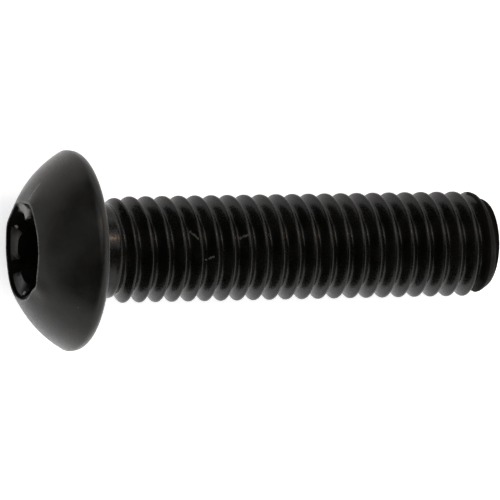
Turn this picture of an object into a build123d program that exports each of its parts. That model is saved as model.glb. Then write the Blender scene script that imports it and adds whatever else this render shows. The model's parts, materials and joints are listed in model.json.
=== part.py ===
"""Button head socket screw, M5 x 0.8 x 20, lying as it comes to rest.

One solid: a domed head with a hexagon socket, a plain neck under the head, the
threaded shank at its size over the thread crests, and a tapered point.

The screw is drawn on its own axis. Distances along the axis are taken from the
bearing face under the head, positive towards the point. The axis is then set
at the slope the screw takes on a flat surface, where it lies on the rim of its
head and on the last full crest of its thread. The floor is z = 0, the head
looks towards -X, and the origin is under the middle of the whole screw.
"""

import os
from math import asin, atan2, cos, degrees, hypot, radians, sin, tan

from build123d import *

os.makedirs("parts", exist_ok=True)

# Thread and shank, in millimetres
thread_diameter = 4.9       # over the crests
thread_pitch = 0.8
screw_length = 20.0         # bearing face to the end of the point
neck_diameter = 4.3         # rolled blank, left plain under the head
neck_turns = 1.7            # length of the plain neck, in thread pitches
neck_fillet = 0.35          # under the head
runout_angle = 45.0         # slope from the neck up to the crests
point_diameter = 3.96       # flat end
point_turns = 1.15          # length of the tapered point, in thread pitches

# Head
head_diameter = 9.18
head_height = 2.75          # bearing face to the lip of the socket
dome_radius = 5.3
rim_height = 0.56           # bearing face to the foot of the dome
rim_round = 0.46            # lower edge of the rim

# Socket
socket_across_flats = 3.0
socket_depth = 1.75         # from the lip, to the end of the flats
socket_turn = 18.0          # first corner, from straight up towards +Y
mouth_diameter = 4.46       # lip round the dished mouth
mouth_depth = 0.35          # lip to the floor of the dish
lip_wall = 0.12             # depth of the steep wall inside the lip
lip_draft = 18.0            # lean of that wall from the axis
lip_round = 0.06
punch_angle = 140.0         # cone at the bottom of the socket

# Worked out from the sizes above
head_radius = head_diameter / 2
thread_radius = thread_diameter / 2
neck_radius = neck_diameter / 2
point_radius = point_diameter / 2
mouth_radius = mouth_diameter / 2
flat_radius = socket_across_flats / 2
neck_length = neck_turns * thread_pitch
runout_length = (thread_radius - neck_radius) / tan(radians(runout_angle))
point_start = screw_length - point_turns * thread_pitch
punch_depth = flat_radius / tan(radians(punch_angle / 2))
wall_foot_radius = mouth_radius - lip_wall * tan(radians(lip_draft))

# Slope of the axis: a floor that touches the round of the rim and the last crest
rim_drop = head_radius - rim_round - thread_radius
contact_span = point_start + rim_round
slope = atan2(rim_drop, contact_span) + asin(rim_round / hypot(rim_drop, contact_span))

# Where the middle of the bearing face lies, so that the whole screw is centred
head_reach = head_height * cos(slope) + mouth_radius * sin(slope)
point_reach = screw_length * cos(slope) + point_radius * sin(slope)
bearing_centre = Vector(
    (head_reach - point_reach) / 2,
    0,
    thread_radius * cos(slope) + point_start * sin(slope),
)
axis_direction = Vector(cos(slope), 0, -sin(slope))
screw_axis = Axis(bearing_centre, axis_direction)

# Square to the axis, towards the first corner of the socket
turn = radians(socket_turn)
corner_direction = Vector(sin(slope) * cos(turn), sin(turn), cos(slope) * cos(turn))

# Half sections are drawn upright, along the axis (x) and out from it (y).
# The socket is drawn across the axis, with its first corner on x.
section_plane = Plane(bearing_centre, x_dir=axis_direction, z_dir=(0, -1, 0))
mouth_plane = Plane(
    bearing_centre - axis_direction * head_height,
    x_dir=corner_direction,
    z_dir=-axis_direction,
)

with BuildPart() as screw:
    # Turned form, from the floor of the dished mouth over the dome to the point
    with BuildSketch(section_plane) as section:
        with BuildLine():
            floor_line = Line((-head_height + mouth_depth, 0), (-head_height + mouth_depth, flat_radius))
            wall_foot = (-head_height + lip_wall, wall_foot_radius)
            TangentArc(floor_line @ 1, wall_foot, tangent=floor_line % 1)
            Line(wall_foot, (-head_height, mouth_radius))
            RadiusArc((-head_height, mouth_radius), (-rim_height, head_radius), dome_radius)
            Polyline(
                (-rim_height, head_radius),
                (0, head_radius),
                (0, neck_radius),
                (neck_length, neck_radius),
                (neck_length + runout_length, thread_radius),
                (point_start, thread_radius),
                (screw_length, point_radius),
                (screw_length, 0),
                (-head_height + mouth_depth, 0),
            )
        make_face()
        fillet(section.vertices().sort_by(Axis.X)[0], lip_round)
        fillet(section.vertices().filter_by_position(Axis.X, 0, 0).sort_by(Axis.Y)[0], neck_fillet)
        fillet(section.vertices().filter_by_position(Axis.X, 0, 0).sort_by(Axis.Y)[-1], rim_round)
    revolve(axis=screw_axis)

    # Socket: six flats, and a cone at the bottom where they end
    with BuildSketch(mouth_plane):
        RegularPolygon(flat_radius, 6, major_radius=False)
    extrude(amount=-socket_depth, mode=Mode.SUBTRACT)
    with BuildSketch(section_plane):
        Polygon(
            (-head_height + socket_depth, 0),
            (-head_height + socket_depth, flat_radius),
            (-head_height + socket_depth + punch_depth, 0),
            align=None,
        )
    revolve(axis=screw_axis, mode=Mode.SUBTRACT)

screw.part.label = "screw"
export_step(screw.part, "parts/screw.step")

print(f"slope of the axis {degrees(slope):.2f} degrees, volume {screw.part.volume:.1f} mm3")
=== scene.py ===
"""Looks of the M5 button head socket screw, lying on a white table under soft studio light.

The screw is one mesh: dished mouth, hexagon socket, dome, rim, neck, helical thread and
tapered point. It is drawn in millimetres in the screw's own terms: how far along its axis
from the bearing face (positive towards the point), how far out, and at what angle round it
(0 at the top, 90 towards +Y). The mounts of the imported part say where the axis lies.
"""

import json
from math import atan2, ceil, cos, degrees, exp, pi, radians, sin, sqrt, tan

import bpy
from mathutils import Matrix, Vector

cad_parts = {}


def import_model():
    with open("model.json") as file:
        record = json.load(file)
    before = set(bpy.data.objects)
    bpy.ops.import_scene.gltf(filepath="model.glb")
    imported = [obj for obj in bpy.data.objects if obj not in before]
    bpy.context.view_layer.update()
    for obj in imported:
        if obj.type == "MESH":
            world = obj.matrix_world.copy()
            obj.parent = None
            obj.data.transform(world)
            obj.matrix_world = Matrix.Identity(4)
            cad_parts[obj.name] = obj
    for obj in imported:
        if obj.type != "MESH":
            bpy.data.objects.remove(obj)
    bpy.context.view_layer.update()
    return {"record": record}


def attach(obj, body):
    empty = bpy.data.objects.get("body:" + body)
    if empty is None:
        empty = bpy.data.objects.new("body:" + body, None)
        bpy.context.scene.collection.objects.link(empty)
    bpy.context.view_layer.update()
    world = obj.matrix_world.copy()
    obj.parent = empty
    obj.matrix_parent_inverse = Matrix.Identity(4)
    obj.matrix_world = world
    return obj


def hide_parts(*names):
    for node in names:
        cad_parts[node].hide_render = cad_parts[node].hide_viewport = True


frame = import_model()

MM = 0.001

# Thread and shank, in millimetres
CREST_RADIUS = 2.44
ROOT_RADIUS = 1.955
PITCH = 0.8
CREST_FLAT = 0.1
FLANK_ANGLE = radians(30)       # each flank, from square to the axis
CREST_ROUND = 0.05              # widths of the blends at the crests and at the roots
ROOT_ROUND = 0.12
FIRST_CREST = 1.707             # middle of the first full crest, at 90 degrees round
NECK_RADIUS = 2.15
NECK_END = 0.6                  # the helical rows begin here
RUN_IN = (1.1, 2.0)             # the thread grows out of the neck between these
SCREW_LENGTH = 20.0
POINT_RADIUS = 1.98
POINT_START = 19.05
POINT_CURVE = 1.6               # 1 is a straight taper, more is rounder
POINT_ROUND = 0.03              # width of the blend between the crests and the taper
TAPER_ALLOWANCE = 0.01          # keeps the taper clear of the full crests
DULL_FROM = POINT_START + 0.15  # the point has its own oxide from here
END_RIM = 0.08                  # width of the ring round the flat end

# Head and socket, in millimetres
HEAD_RADIUS = 4.59
HEAD_HEIGHT = 2.75
DOME_RADIUS = 5.3
RIM_HEIGHT = 0.56
RIM_ROUND = 0.46
NECK_FILLET = 0.3
BEARING_RINGS = (3.7, 3.2, 2.8)     # radii of the rings across the bearing face
MOUTH_RADIUS = 2.2
MOUTH_BULGES = (                # the uneven lip: middle and half width in degrees, and height
    (60, 14, 0.17),
    (106, 12, 0.1),
    (148, 14, 0.15),
    (195, 14, -0.05),
    (232, 18, 0.08),
    (300, 10, -0.04),
    (319, 9, 0.17),
)
BULGE_REACH = 0.35              # share of the dome over which the bulges die out
LIP_ROUND = 0.05
LIP_WALL = 0.18                 # depth of the steep wall inside the lip
LIP_DRAFT = radians(15)         # its lean from the axis
MOUTH_DEPTH = 0.35              # lip to the floor of the dish
DISH_ROUND = 0.04               # between the wall and the dish
DISH_SIDE = radians(175)        # middle of the side that the punch pressed down
DISH_REACH = (-0.1, 0.2)        # it ends between these cosines from its middle
NOTCHES = (                     # torn corners of the hexagon: middle and half width, in degrees
    (20, 9),
    (80, 6),
    (133, 14),
    (200, 9),
    (260, 9),
    (320, 9),
)
NOTCH_DEPTH = 0.7
NOTCH_RUN_OUT = (0.03, 0.4)     # distances inside the lip where a notch starts, and has its full depth
TORN_FROM = 0.3                 # share of a notch from which the metal is torn
FLAT_RADIUS = 1.5
SOCKET_DEPTH = 1.75
SOCKET_FLOOR = -HEAD_HEIGHT + SOCKET_DEPTH
SOCKET_TURN = 20.0              # first corner, in degrees round
PUNCH_ANGLE = 140.0

# How finely the mesh is drawn. Shares say how far across its stretch each ring lies
COLUMNS = 120                   # steps round the screw
CONE_SHARES = (0.25, 0.5, 0.75, 1.0)
FLAT_SHARES = (0.25, 0.5, 0.75, 0.94, 1.0)
DISH_SHARES = (0.1, 0.25, 0.4, 0.55, 0.7, 0.8, 0.88, 0.93)
TORN_SHARES = (0.96, 0.98)      # the dish is torn all round from here to the lip
LIP_STEPS = 4
DOME_STEPS = 24
RIM_STEPS = 8
FILLET_STEPS = 6
SNAP = 0.012                    # points nearer than this to the end of the thread lie on its end ring

# Material slots of the mesh
HEAD, SOCKET, SHANK, POINT, TORN = range(5)

# Where the screw lies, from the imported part's mounts
mounts = {mount["name"]: mount for mount in frame["record"]["mounts"]}
axis = Vector(mounts["thread"]["axis"])     # from the head to the point
side = Vector((0, 1, 0))
up = axis.cross(side)                       # square to the axis, so it leans with the screw
lip_centre = Vector(mounts["hex_drive"]["pos_m"]) / MM
bearing_centre = lip_centre + HEAD_HEIGHT * axis


def place(along, out, angle):
    """The point of the world, in metres, at a place given in the screw's own terms."""
    outward = cos(angle) * up + sin(angle) * side
    return (bearing_centre + along * axis + out * outward) * MM


def smooth_step(value, low, high):
    """0 up to low, 1 from high, and smooth between."""
    x = min(1, max(0, (value - low) / (high - low)))
    return x * x * (3 - 2 * x)


def smooth_min(a, b, blend_width):
    """The lower of two values, rounded off where they lie within blend_width of each other."""
    nearness = max(0, blend_width - abs(a - b)) / blend_width
    return min(a, b) - nearness * nearness * blend_width / 4


def angle_of(column):
    """Where a column stands round the screw, in radians. The first is at a corner of the hexagon."""
    return radians(SOCKET_TURN + 360 * column / COLUMNS)


def bell(angle, middle, half_width):
    """1 at the middle and near 0 beyond twice the half width, both of them in degrees."""
    away = (degrees(angle) - middle + 180) % 360 - 180
    return exp(-(away / half_width) ** 2)


class Skin:
    """A mesh under way: its vertices, and its faces with a material each."""

    def __init__(self):
        self.points = []
        self.faces = []
        self.materials = []

    def point(self, along, out, angle):
        self.points.append(place(along, out, angle))
        return len(self.points) - 1

    def ring(self, along, out):
        """A row of points round the screw. along and out are numbers, or functions of the angle."""
        row = []
        for column in range(COLUMNS):
            angle = angle_of(column)
            far = along(angle) if callable(along) else along
            wide = out(angle) if callable(out) else out
            row.append(self.point(far, wide, angle))
        return row

    def face(self, corners, material):
        """A face without its doubled corners, unless too few are left."""
        corners = [corner for number, corner in enumerate(corners) if corner not in corners[:number]]
        if len(corners) > 2:
            self.faces.append(corners)
            self.materials.append(material)

    def join(self, row, next_row, material):
        """Faces between two rows. material is a slot, or a function of the angle."""
        for column in range(COLUMNS):
            after = (column + 1) % COLUMNS
            slot = material(angle_of(column + 0.5)) if callable(material) else material
            self.face([row[column], row[after], next_row[after], next_row[column]], slot)

    def strip(self, previous, rows, material):
        """Faces from one row through each of the others in turn. Returns the last row."""
        for row in rows:
            self.join(row, previous, material)
            previous = row
        return previous

    def cap(self, row, along, material, faces_point=True):
        """Faces from a row in to a point on the axis, turned towards the point or the head."""
        middle = self.point(along, 0, 0)
        for column in range(COLUMNS):
            after = (column + 1) % COLUMNS
            corners = [row[column], middle, row[after]]
            self.face(corners if faces_point else corners[::-1], material)


# ---------------------------------------------------------------- socket and mouth


def hexagon_radius(angle):
    """Distance of the hexagon's flats from the axis."""
    from_corner = (degrees(angle) - SOCKET_TURN) % 60
    return FLAT_RADIUS / cos(radians(from_corner - 30))


def mouth_radius(angle):
    """Radius of the lip, which bulges where the punch dragged the metal out."""
    radius = MOUTH_RADIUS
    for middle, half_width, height in MOUTH_BULGES:
        radius += height * bell(angle, middle, half_width)
    return radius


def notch(angle):
    """How much of a notch there is at this angle: 1 in its middle."""
    return max(bell(angle, middle, half_width) for middle, half_width in NOTCHES)


def dish_material(angle):
    return TORN if notch(angle) > TORN_FROM else SOCKET


def dish_depth(out, angle):
    """Depth below the lip. On the dished side it is a floor, a curve and a steep wall to the lip,
    and on the other side a plain chamfer. Each corner of the hexagon adds its notch."""
    inside_lip = mouth_radius(angle) - out
    wall = inside_lip / tan(LIP_DRAFT)
    across = mouth_radius(angle) - LIP_WALL * tan(LIP_DRAFT) - FLAT_RADIUS
    rise = MOUTH_DEPTH - LIP_WALL
    curve_radius = (across**2 + rise**2) / (2 * rise)
    from_floor = min(across, max(0, out - FLAT_RADIUS))
    curve = MOUTH_DEPTH - curve_radius + sqrt(curve_radius**2 - from_floor**2)
    dish = smooth_min(wall, curve, DISH_ROUND)
    dished = smooth_step(cos(angle - DISH_SIDE), *DISH_REACH)
    depth = dish * dished + inside_lip * (1 - dished)
    return depth + NOTCH_DEPTH * notch(angle) * smooth_step(inside_lip, *NOTCH_RUN_OUT)


def build_socket(skin):
    """The punch cone and the six flats, from the bottom up. Returns the flats' upper ring."""
    punch_depth = FLAT_RADIUS / tan(radians(PUNCH_ANGLE / 2))
    foot = skin.ring(SOCKET_FLOOR, hexagon_radius)
    cone = [skin.ring(SOCKET_FLOOR + punch_depth * (1 - share), FLAT_RADIUS * share) for share in CONE_SHARES]
    skin.cap(cone[0], SOCKET_FLOOR + punch_depth, SOCKET, faces_point=False)
    skin.strip(cone[0], [*cone[1:], foot], SOCKET)

    def flats_ring(share):
        """The ring at this share of the flats' height, which differs round the notched dish."""
        def along(angle):
            top = -HEAD_HEIGHT + dish_depth(hexagon_radius(angle), angle)
            return SOCKET_FLOOR + (top - SOCKET_FLOOR) * share
        return skin.ring(along, hexagon_radius)

    return skin.strip(foot, map(flats_ring, FLAT_SHARES), SOCKET)


def build_dish(skin, flats_top):
    """From the flats out to the wall inside the lip. Returns the last ring."""
    def dish_ring(share):
        """The ring at this share of the way from the hexagon to the lip."""
        def out(angle):
            inner = hexagon_radius(angle)
            return inner + (mouth_radius(angle) - LIP_ROUND - inner) * share

        def along(angle):
            return -HEAD_HEIGHT + dish_depth(out(angle), angle)
        return skin.ring(along, out)

    wall_foot = skin.strip(flats_top, map(dish_ring, DISH_SHARES), dish_material)
    return skin.strip(wall_foot, map(dish_ring, TORN_SHARES), TORN)


# ---------------------------------------------------------------- head


def dome_centre():
    """Centre of the dome's arc, along and out, from its two ends and its radius."""
    lip = Vector((-HEAD_HEIGHT, MOUTH_RADIUS))
    foot = Vector((-RIM_HEIGHT, HEAD_RADIUS))
    half = (foot - lip) / 2
    square = Vector((half.y, -half.x)).normalized()
    return (lip + foot) / 2 + square * sqrt(DOME_RADIUS**2 - half.length_squared)


def lip_rows():
    """Steps along and out from the lip's edge, round from the wall inside it to the dome."""
    from_centre = Vector((-HEAD_HEIGHT, MOUTH_RADIUS)) - dome_centre()
    dome = Vector((from_centre.y, -from_centre.x)).normalized()
    wall = Vector((cos(LIP_DRAFT), -sin(LIP_DRAFT)))
    half_angle = wall.angle(dome) / 2
    centre = (wall + dome).normalized() * LIP_ROUND / sin(half_angle)
    first = wall * LIP_ROUND / tan(half_angle) - centre
    last = dome * LIP_ROUND / tan(half_angle) - centre
    return [centre + LIP_ROUND * first.slerp(last, step / LIP_STEPS) for step in range(LIP_STEPS + 1)]


def dome_rows():
    """(along, out) down the dome, with how much of the lip's unevenness is left there."""
    centre = dome_centre()
    first = atan2(MOUTH_RADIUS - centre.y, -HEAD_HEIGHT - centre.x)
    last = atan2(HEAD_RADIUS - centre.y, -RIM_HEIGHT - centre.x)
    rows = []
    for step in range(1, DOME_STEPS + 1):
        angle = first + (last - first) * step / DOME_STEPS
        along = centre.x + DOME_RADIUS * cos(angle)
        out = centre.y + DOME_RADIUS * sin(angle)
        rows.append((along, out, 1 - smooth_step(step / DOME_STEPS, 0, BULGE_REACH)))
    return rows


def rim_rows():
    """(along, out) from the foot of the dome round the rim and in to the neck."""
    rows = [(-RIM_ROUND, HEAD_RADIUS)]
    for step in range(1, RIM_STEPS + 1):
        angle = pi / 2 * step / RIM_STEPS
        rows.append((-RIM_ROUND * (1 - sin(angle)), HEAD_RADIUS - RIM_ROUND * (1 - cos(angle))))
    for out in (*BEARING_RINGS, NECK_RADIUS + NECK_FILLET):
        rows.append((0, out))
    for step in range(1, FILLET_STEPS + 1):
        angle = pi / 2 * step / FILLET_STEPS
        rows.append((NECK_FILLET * (1 - cos(angle)), NECK_RADIUS + NECK_FILLET * (1 - sin(angle))))
    return rows


def build_head(skin, dish_edge):
    """The lip, the dome, the rim, the bearing face and the fillet. Returns the last ring."""
    def lip_ring(step):
        return skin.ring(-HEAD_HEIGHT + step.x, lambda angle: mouth_radius(angle) + step.y)

    def dome_ring(row):
        along, out, uneven = row
        return skin.ring(along, lambda angle: out + uneven * (mouth_radius(angle) - MOUTH_RADIUS))

    def rim_ring(row):
        return skin.ring(*row)

    wall_top, *lip_steps = lip_rows()
    lip_foot = skin.strip(dish_edge, [lip_ring(wall_top)], TORN)
    lip = skin.strip(lip_foot, map(lip_ring, lip_steps), SOCKET)
    dome_foot = skin.strip(lip, map(dome_ring, dome_rows()), HEAD)
    return skin.strip(dome_foot, map(rim_ring, rim_rows()), HEAD)


# ---------------------------------------------------------------- thread

# Rows across one pitch, from crest middle to crest middle, closer where the profile bends
HALF_ROWS = (0.035, 0.055, 0.08, 0.15, 0.225, 0.285, 0.325, 0.36)
PITCH_ROWS = [0, *HALF_ROWS, PITCH / 2, *(PITCH - row for row in reversed(HALF_ROWS))]


def thread_radius(along, across):
    """Radius of the threaded shank, where across is how far into its pitch the place lies."""
    from_crest = min(across, PITCH - across)
    down_the_flank = (from_crest - CREST_FLAT / 2) / tan(FLANK_ANGLE)
    depth = -smooth_min(0, -down_the_flank, CREST_ROUND)
    depth = smooth_min(depth, CREST_RADIUS - ROOT_RADIUS, ROOT_ROUND)
    grown = smooth_step(along, *RUN_IN)
    threaded = NECK_RADIUS + (CREST_RADIUS - depth - NECK_RADIUS) * grown
    into_point = max(0, (along - POINT_START) / (SCREW_LENGTH - POINT_START))
    taper = CREST_RADIUS - (CREST_RADIUS - POINT_RADIUS) * into_point**POINT_CURVE
    return smooth_min(threaded, taper + TAPER_ALLOWANCE, POINT_ROUND)


def end_radius(angle):
    """Radius of the threaded shank where it is cut off square."""
    turn = angle - pi / 2
    return thread_radius(SCREW_LENGTH, (SCREW_LENGTH - FIRST_CREST + PITCH * turn / (2 * pi)) % PITCH)


def build_thread(skin, first_ring):
    """Rows that follow the helix, from the neck to the screw's end. Returns the last ring."""
    per_pitch = len(PITCH_ROWS)
    last_ring = skin.ring(SCREW_LENGTH, end_radius)
    made = {}

    def row_place(row, column):
        turn = angle_of(column) - pi / 2
        crest = FIRST_CREST + PITCH * (row // per_pitch)
        return crest + PITCH_ROWS[row % per_pitch] - PITCH * turn / (2 * pi)

    def vertex(row, column):
        if column == COLUMNS:
            row, column = row - per_pitch, 0
        along = row_place(row, column)
        if along < NECK_END + SNAP:
            return first_ring[column]
        if along > SCREW_LENGTH - SNAP:
            return last_ring[column]
        if (row, column) not in made:
            radius = thread_radius(along, PITCH_ROWS[row % per_pitch])
            made[row, column] = skin.point(along, radius, angle_of(column))
        return made[row, column]

    turns_before = ceil((FIRST_CREST - NECK_END) / PITCH) + 2
    turns_after = ceil((SCREW_LENGTH - FIRST_CREST) / PITCH) + 2
    for row in range(-turns_before * per_pitch, turns_after * per_pitch):
        for column in range(COLUMNS):
            corners = [
                vertex(row, column),
                vertex(row + 1, column),
                vertex(row + 1, column + 1),
                vertex(row, column + 1),
            ]
            middle = (row_place(row, column) + row_place(row + 1, column)) / 2
            skin.face(corners, POINT if middle > DULL_FROM else SHANK)
    return last_ring


def build_shank(skin, fillet_end):
    """The neck, the thread and the flat end of the point."""
    neck_end = skin.strip(fillet_end, [skin.ring(NECK_END, NECK_RADIUS)], SHANK)
    thread_end = build_thread(skin, neck_end)
    end_rim = skin.strip(thread_end, [skin.ring(SCREW_LENGTH, POINT_RADIUS - END_RIM)], POINT)
    skin.cap(end_rim, SCREW_LENGTH, POINT)


# ---------------------------------------------------------------- materials

# The oxides in the order of the slots: name, colour, roughness, strength of the grain, sheen,
# index of refraction, and the worn places, lint and painted highlights that it shows
OXIDES = (
    ("head_black_oxide", (0.0052, 0.005, 0.0037), 0.35, 0.25, 0.35, 1.25, "head"),
    ("socket_black_oxide", (0.0045, 0.004, 0.003), 0.35, 0.3, 0, 1.25, "socket"),
    ("thread_black_oxide", (0.005, 0.0048, 0.0038), 0.25, 0.2, 0, 1.25, "thread"),
    ("point_black_oxide", (0.006, 0.0052, 0.0045), 0.5, 0.6, 0, 1.08, "point"),
    ("torn_black_oxide", (0.003, 0.0027, 0.002), 0.5, 0.3, 0, 1.06, "socket"),
)
# Worn places, lint, a scratch, and painted highlights at the top of the mouth and on two burrs: the part they
# are on, two ends (each along, out and degrees round), half width and strength. A spot has both its ends in
# one place
WORN_AND_GLINTS = (
    # painted highlight: a bright smear on the wall at the top of the mouth
    ("socket", (-2.5, 2.0, 103), (-2.42, 1.88, 100), 0.4, 0.7),
    # painted highlights: glints on burrs at two corners of the hexagon
    ("socket", (-2.35, 2.11, 147), (-2.35, 2.11, 147), 0.07, 0.5),
    ("socket", (-2.4, 2.03, 250), (-2.4, 2.03, 250), 0.07, 0.5),
    # a scratch on the head
    ("head", (-2.6, 2.5, 71), (-2.15, 3.2, 73), 0.07, 0.16),
    # lint on the thread
    ("thread", (5.45, 1.98, 344.5), (5.64, 2.03, 346), 0.05, 0.25),
    ("thread", (5.64, 2.03, 346), (5.78, 2.25, 350.5), 0.05, 0.25),
    ("thread", (4.78, 2.03, 22), (4.97, 2.32, 11), 0.05, 0.2),
    ("thread", (7.16, 2.0, 12), (7.41, 2.38, 14), 0.05, 0.2),
)
DUST = (0.12, 0.115, 0.1)
# bare steel, also used as the colour of the painted highlights
BARE_STEEL_AND_GLINT = (0.42, 0.41, 0.39)

# How the oxide varies. Scales are per millimetre, and lengths in millimetres
CLOUD_SCALE = 0.9               # of the soft patches
CLOUD_DETAIL = 3.0
CLOUD_SHADES = (0.6, 1.4)       # shares of the colour in the darkest and the lightest patches
FINE_SCALE = 9.0                # of the grain
FINE_DETAIL = 4.0
NOISE_RANGE = (0.35, 0.65)      # values of the noise that count as none and as all
ROUGHNESS_RANGE = (0.3, 0.7)    # the same for the roughness, which is gentler
ROUGHNESS_SPREAD = 0.07
GRAIN_HEIGHT = 0.02
SHEEN_ROUGHNESS = 0.3
DUST_SCALE = 1.6                # of the cells that can hold one speck each
DUST_CHANCE = (0.72, 1.0)       # values of a cell between which its speck grows
DUST_SIZE = 0.07
DUST_STRENGTH = 0.5
LIP_WEAR_AND_HIGHLIGHT_DEPTH = (0.06, 0.02)   # below the lip, where its wear and painted highlight start and are full
LIP_WEAR_AND_HIGHLIGHT = (0.05, 0.4)          # the least and the most of it
MARK_RAGGED = 0.25              # how far the noise moves the edge of a worn place
MARK_EDGE = (1.15, 0.75)        # half widths from its middle where it starts and is full
SHORTEST_RUN = 1e-6             # square millimetres, so that a spot's run can be divided by


def add(tree, kind, inputs=(), **settings):
    """A shader node with its settings, and its inputs by name or number: values or sockets."""
    node = tree.nodes.new("ShaderNode" + kind)
    for name, value in settings.items():
        setattr(node, name, value)
    for name, value in dict(inputs).items():
        if isinstance(value, bpy.types.NodeSocket):
            tree.links.new(value, node.inputs[name])
        else:
            node.inputs[name].default_value = value
    return node


def arithmetic(tree, operation, a, b):
    return add(tree, "Math", {0: a, 1: b}, operation=operation).outputs[0]


def stretch(tree, value, low, high, to_low=0.0, to_high=1.0):
    """A smooth step of a socket from one range of values to another."""
    ends = {"Value": value, "From Min": low, "From Max": high, "To Min": to_low, "To Max": to_high}
    return add(tree, "MapRange", ends, interpolation_type="SMOOTHSTEP").outputs["Result"]


def noise(tree, where, scale, detail):
    return add(tree, "TexNoise", {"Vector": where, "Scale": scale, "Detail": detail}).outputs["Fac"]


def blend(tree, factor, a, b):
    """Colour b laid over colour a. Each is a socket, or three numbers."""
    mix = add(tree, "Mix", {"Factor": factor}, data_type="RGBA")
    for socket, value in ((mix.inputs[6], a), (mix.inputs[7], b)):
        if isinstance(value, bpy.types.NodeSocket):
            tree.links.new(value, socket)
        else:
            socket.default_value = (*value, 1)
    return mix.outputs[2]


def with_patches(tree, where, colour):
    """The colour, darker and lighter in soft patches."""
    cloud = noise(tree, where, CLOUD_SCALE, CLOUD_DETAIL)
    dark, light = (tuple(value * shade for value in colour) for shade in CLOUD_SHADES)
    return blend(tree, stretch(tree, cloud, *NOISE_RANGE), dark, light)


def with_dust(tree, where, colour):
    """The colour with a few specks of dust on it."""
    cells = add(tree, "TexVoronoi", {"Vector": where, "Scale": DUST_SCALE})
    size = arithmetic(tree, "MULTIPLY", stretch(tree, cells.outputs["Color"], *DUST_CHANCE), DUST_SIZE)
    speck = arithmetic(tree, "LESS_THAN", cells.outputs["Distance"], size)
    return blend(tree, arithmetic(tree, "MULTIPLY", speck, DUST_STRENGTH), colour, DUST)


def with_worn_and_highlighted_lip(tree, where, fine, colour):
    """The colour, turned to bare steel in places along the edge of the lip: wear, and a painted highlight on
    that edge.
    """
    along = add(tree, "VectorMath", {0: where, 1: axis}, operation="DOT_PRODUCT").outputs["Value"]
    from_lip = arithmetic(tree, "SUBTRACT", along, lip_centre.dot(axis))
    # painted highlight as well as wear: bare steel where the lip's edge catches light
    edge = stretch(tree, from_lip, *LIP_WEAR_AND_HIGHLIGHT_DEPTH)
    wear_and_highlight = stretch(tree, fine, *NOISE_RANGE, *LIP_WEAR_AND_HIGHLIGHT)
    return blend(tree, arithmetic(tree, "MULTIPLY", edge, wear_and_highlight), colour, BARE_STEEL_AND_GLINT)


def with_marks(tree, where, fine, colour, strokes):
    """The colour, turned to bare steel in strokes of wear, lint and painted highlights: each two ends, a half
    width and a strength.
    """
    ragged = arithmetic(tree, "MULTIPLY", arithmetic(tree, "SUBTRACT", fine, 0.5), MARK_RAGGED)
    fade_start, fade_end = MARK_EDGE
    total = None
    for start, end, half_width, strength in strokes:
        start, end = start / MM, end / MM
        run = end - start
        step = run / max(run.length_squared, SHORTEST_RUN)
        from_start = add(tree, "VectorMath", {0: where, 1: start}, operation="SUBTRACT").outputs[0]
        share = add(tree, "VectorMath", {0: from_start, 1: step}, operation="DOT_PRODUCT").outputs["Value"]
        share = arithmetic(tree, "MAXIMUM", arithmetic(tree, "MINIMUM", share, 1.0), 0.0)
        nearest = add(tree, "VectorMath", {0: run, "Scale": share}, operation="SCALE").outputs[0]
        away = add(tree, "VectorMath", {0: from_start, 1: nearest}, operation="DISTANCE").outputs["Value"]
        away = arithmetic(tree, "ADD", away, ragged)
        mark = stretch(tree, away, half_width * fade_start, half_width * fade_end, 0, strength)
        total = mark if total is None else arithmetic(tree, "MAXIMUM", total, mark)
    return blend(tree, total, colour, BARE_STEEL_AND_GLINT)


def strokes_on(part):
    """The worn places, lint and painted highlights of one part of the screw, with their ends as points of the
    world.
    """
    def world(end):
        along, out, turn = end
        return place(along, out, radians(turn))
    return [(world(start), world(end), half_width, strength)
            for where, start, end, half_width, strength in WORN_AND_GLINTS if where == part]


def black_oxide(name, colour, roughness, grain, sheen, refraction, worn_and_glint_part):
    """Black oxide on steel: an uneven black with a fine grain, dust, places worn to bare metal, and bare
    steel painted as highlights on the lip, in the mouth and on burrs.
    """
    material = bpy.data.materials.new(name)
    material.use_nodes = True
    tree = material.node_tree
    shader = tree.nodes["Principled BSDF"]
    shader.inputs["IOR"].default_value = refraction
    shader.inputs["Sheen Weight"].default_value = sheen
    shader.inputs["Sheen Roughness"].default_value = SHEEN_ROUGHNESS
    where = add(tree, "TexCoord").outputs["Object"]
    where = add(tree, "VectorMath", {0: where, "Scale": 1 / MM}, operation="SCALE").outputs[0]
    fine = noise(tree, where, FINE_SCALE, FINE_DETAIL)

    black = with_patches(tree, where, colour)
    black = with_dust(tree, where, black)
    black = with_worn_and_highlighted_lip(tree, where, fine, black)
    strokes = strokes_on(worn_and_glint_part)
    if strokes:
        black = with_marks(tree, where, fine, black, strokes)
    tree.links.new(black, shader.inputs["Base Color"])

    smoothest, roughest = roughness - ROUGHNESS_SPREAD, roughness + ROUGHNESS_SPREAD
    rough = stretch(tree, fine, *ROUGHNESS_RANGE, smoothest, roughest)
    tree.links.new(rough, shader.inputs["Roughness"])
    bump = add(tree, "Bump", {"Height": fine, "Strength": grain, "Distance": GRAIN_HEIGHT * MM})
    tree.links.new(bump.outputs["Normal"], shader.inputs["Normal"])
    return material


# ---------------------------------------------------------------- screw

SHARP_ANGLE = radians(38)       # faces that meet at more than this keep a hard edge


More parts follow.
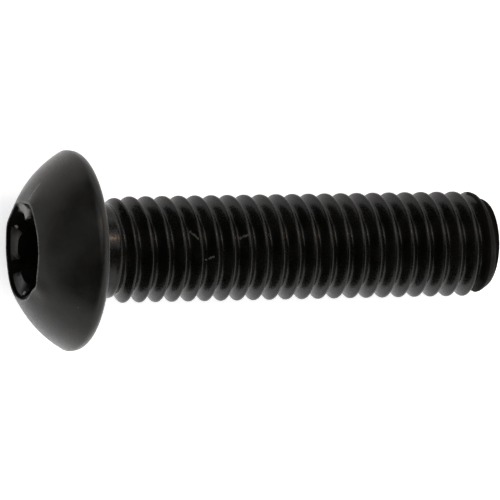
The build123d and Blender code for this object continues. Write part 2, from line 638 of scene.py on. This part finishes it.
def make_screw():
    skin = Skin()
    flats_top = build_socket(skin)
    dish_edge = build_dish(skin, flats_top)
    fillet_end = build_head(skin, dish_edge)
    build_shank(skin, fillet_end)
    mesh = bpy.data.meshes.new("screw_skin")
    mesh.from_pydata(skin.points, [], skin.faces)
    for oxide in OXIDES:
        mesh.materials.append(black_oxide(*oxide))
    mesh.polygons.foreach_set("material_index", skin.materials)
    mesh.shade_smooth()
    mesh.set_sharp_from_angle(angle=SHARP_ANGLE)
    mesh.validate()
    screw = bpy.data.objects.new("threaded_screw", mesh)
    bpy.context.scene.collection.objects.link(screw)
    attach(screw, "root")
    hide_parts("screw")


# ---------------------------------------------------------------- camera and table

CAMERA_LENS = 568.7             # millimetres
SENSOR_WIDTH = 36               # millimetres
CAMERA_YAW = radians(21.01)     # off square to the screw's axis, towards the head
CAMERA_ROLL = radians(1.038)
CAMERA_DISTANCE = 363.39
AIM_ALONG = 8.39                # the place on the screw's axis that the camera looks at
AIM_BELOW = 0.12                # and how far below it the middle of the picture lies


def make_camera():
    data = bpy.data.cameras.new("camera")
    data.lens = CAMERA_LENS
    data.sensor_width = SENSOR_WIDTH
    camera = bpy.data.objects.new("camera", data)
    bpy.context.scene.collection.objects.link(camera)
    back = cos(CAMERA_YAW) * up - sin(CAMERA_YAW) * axis
    level = cos(CAMERA_YAW) * axis + sin(CAMERA_YAW) * up
    right = cos(CAMERA_ROLL) * level - sin(CAMERA_ROLL) * side
    above = back.cross(right)
    aim = bearing_centre + AIM_ALONG * axis - AIM_BELOW * above
    turn = Matrix((right, above, back)).transposed()
    camera.matrix_world = Matrix.Translation((aim + CAMERA_DISTANCE * back) * MM) @ turn.to_4x4()
    bpy.context.scene.camera = camera


TABLE_HALF = 1.5                # metres
PAPER = (0.9, 0.9, 0.9, 1)      # its colour
TABLE_GLOW = (1.0, 0.45)        # a glow the table adds to its own light, at -Y and +Y: at +Y about what white needs, at -Y more, painted light that reflections show on the screw's -Y side
GLOW_EDGES = (-0.008, 0.003)    # metres from the middle, where it changes from one to the other


def white_paper():
    """A pale paper that the camera, reflections and refractions see as white, with a glow that grows towards
    -Y: painted light in the screw's reflections.
    """
    material = bpy.data.materials.new("white_table")
    material.use_nodes = True
    tree = material.node_tree
    tree.nodes.clear()
    paper = add(tree, "BsdfDiffuse", {"Color": PAPER})
    path = add(tree, "LightPath")
    seen = arithmetic(tree, "MAXIMUM", path.outputs["Is Camera Ray"], path.outputs["Is Glossy Ray"])
    seen = arithmetic(tree, "MAXIMUM", seen, path.outputs["Is Transmission Ray"])
    place_on_table = add(tree, "TexCoord").outputs["Object"]
    across = add(tree, "SeparateXYZ", {0: place_on_table}).outputs["Y"]
    # painted light: the glow is stronger towards -Y, so reflections in the screw are lighter on that side
    strength = stretch(tree, across, *GLOW_EDGES, *TABLE_GLOW)
    glow = add(tree, "Emission", {"Strength": arithmetic(tree, "MULTIPLY", seen, strength)})
    both = add(tree, "AddShader", {0: paper.outputs[0], 1: glow.outputs[0]})
    add(tree, "OutputMaterial", {"Surface": both.outputs[0]})
    return material


def make_table():
    mesh = bpy.data.meshes.new("table")
    corners = [(x * TABLE_HALF, y * TABLE_HALF, 0) for x, y in ((-1, -1), (1, -1), (1, 1), (-1, 1))]
    mesh.from_pydata(corners, [], [(0, 1, 2, 3)])
    mesh.materials.append(white_paper())
    table = bpy.data.objects.new("table", mesh)
    bpy.context.scene.collection.objects.link(table)


# ---------------------------------------------------------------- light

# Directions are azimuths in degrees from +X towards +Y, and heights above the table
DARK_SIDE = (153, 65)           # the unlit part of the studio, over the head
DARK_REACH = (70, 79)           # its edge, in degrees from its middle
ROOM_LIGHT = 2.3                # radiance of the rest of the studio
LAMP_DISTANCE = 0.6             # metres
LAMPS = (                       # name, direction, half angle seen from the screw, radiance, colour
    ("top_lamp", 78, 61, 27, 2.3, (0.97, 0.99, 1.04)),
    ("side_lamp", 158, 36, 20, 0.9, (1, 1, 1)),
    ("front_lamp", 187, 16, 12, 1.1, (1, 1, 1)),
    ("warm_lamp", 45, 50, 5, 20, (1, 0.66, 0.42)),
)


def toward(azimuth, height):
    """The direction, with a length of 1."""
    azimuth, height = radians(azimuth), radians(height)
    return Vector((cos(height) * cos(azimuth), cos(height) * sin(azimuth), sin(height)))


def make_room():
    """The world: white all round, apart from the dark side."""
    world = bpy.data.worlds.new("studio")
    world.use_nodes = True
    tree = world.node_tree
    direction = add(tree, "TexCoord").outputs["Generated"]
    middle = toward(*DARK_SIDE)
    nearness = add(tree, "VectorMath", {0: direction, 1: middle}, operation="DOT_PRODUCT").outputs["Value"]
    dark_edge, lit_edge = (cos(radians(reach)) for reach in DARK_REACH)
    strength = stretch(tree, nearness, lit_edge, dark_edge, ROOM_LIGHT, 0)
    background = tree.nodes["Background"]
    background.inputs["Color"].default_value = (1, 1, 1, 1)
    tree.links.new(strength, background.inputs["Strength"])
    bpy.context.scene.world = world


def make_lamp(name, azimuth, height, half_angle, radiance, colour):
    """A round softbox that fills half_angle degrees about a direction, seen from the screw."""
    radius = LAMP_DISTANCE * tan(radians(half_angle))
    data = bpy.data.lights.new(name, "AREA")
    data.shape = "DISK"
    data.size = 2 * radius
    data.energy = radiance * pi * (pi * radius**2)
    data.color = colour
    lamp = bpy.data.objects.new(name, data)
    bpy.context.scene.collection.objects.link(lamp)
    lamp.location = LAMP_DISTANCE * toward(azimuth, height)
    lamp.rotation_mode = "QUATERNION"
    lamp.rotation_quaternion = lamp.location.to_track_quat("Z", "Y")


make_screw()
make_camera()
make_table()
make_room()
for lamp_facts in LAMPS:
    make_lamp(*lamp_facts)
bpy.context.scene.view_settings.view_transform = "Standard"
